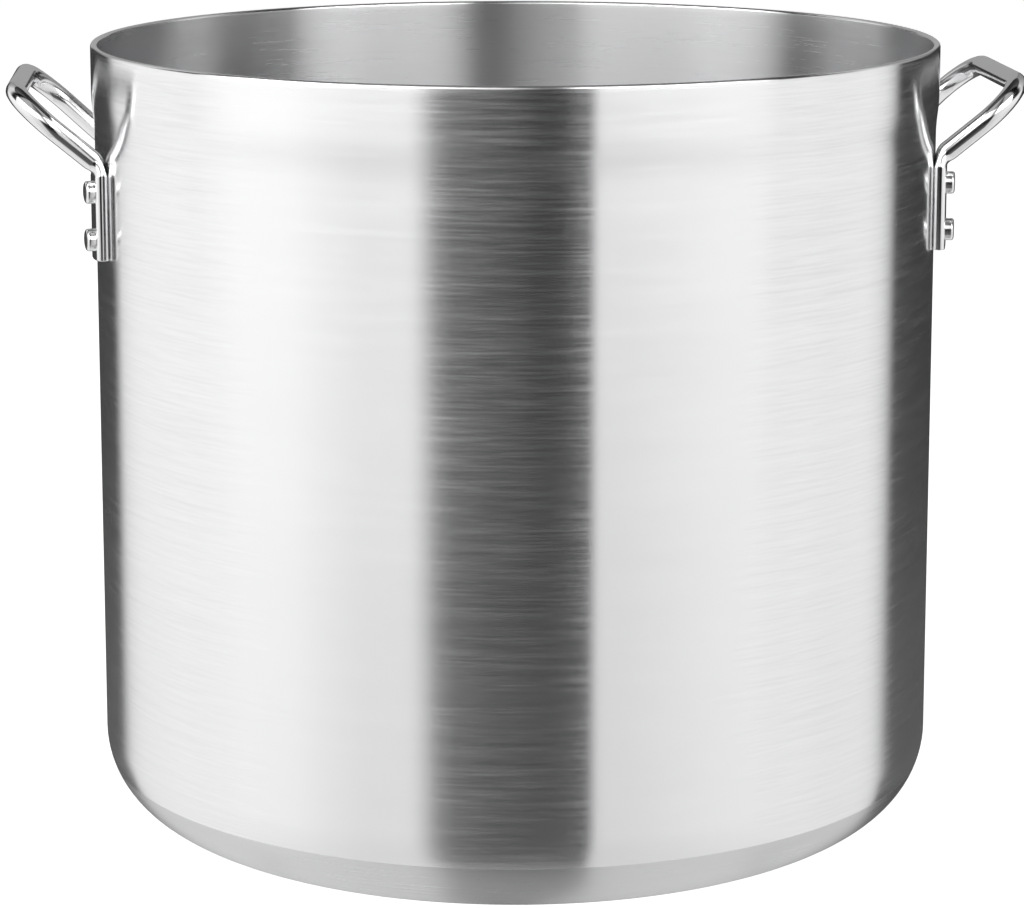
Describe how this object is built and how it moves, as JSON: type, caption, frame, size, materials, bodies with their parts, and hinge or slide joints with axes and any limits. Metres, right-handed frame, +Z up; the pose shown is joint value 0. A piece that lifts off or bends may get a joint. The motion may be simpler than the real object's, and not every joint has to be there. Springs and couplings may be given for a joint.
{
  "type": "stock pot",
  "caption": "Tall round aluminium stock pot with a rounded base corner, a thickened rim band and riveted loop handles that slope outwards, for boiling and stewing.",
  "frame": {"origin": "middle of the flat underside, on the pot's axis", "axes": "+Z up along the pot's axis, +X towards the right handle and -X towards the left handle, -Y towards the front"},
  "size_m": [0.5164, 0.4348, 0.402],
  "materials": {
    "satin_aluminium": "satin, brushed round the pot",
    "polished_handle": "polished",
    "polished_rivet": "polished"
  },
  "bodies": {
    "root": {"pot_body": "satin_aluminium", "left_handle": "polished_handle", "right_handle": "polished_handle", "rivet_left_front_lower": "polished_rivet", "rivet_left_front_upper": "polished_rivet", "rivet_left_back_lower": "polished_rivet", "rivet_left_back_upper": "polished_rivet", "rivet_right_front_lower": "polished_rivet", "rivet_right_front_upper": "polished_rivet", "rivet_right_back_lower": "polished_rivet", "rivet_right_back_upper": "polished_rivet"}
  },
  "joints": []
}
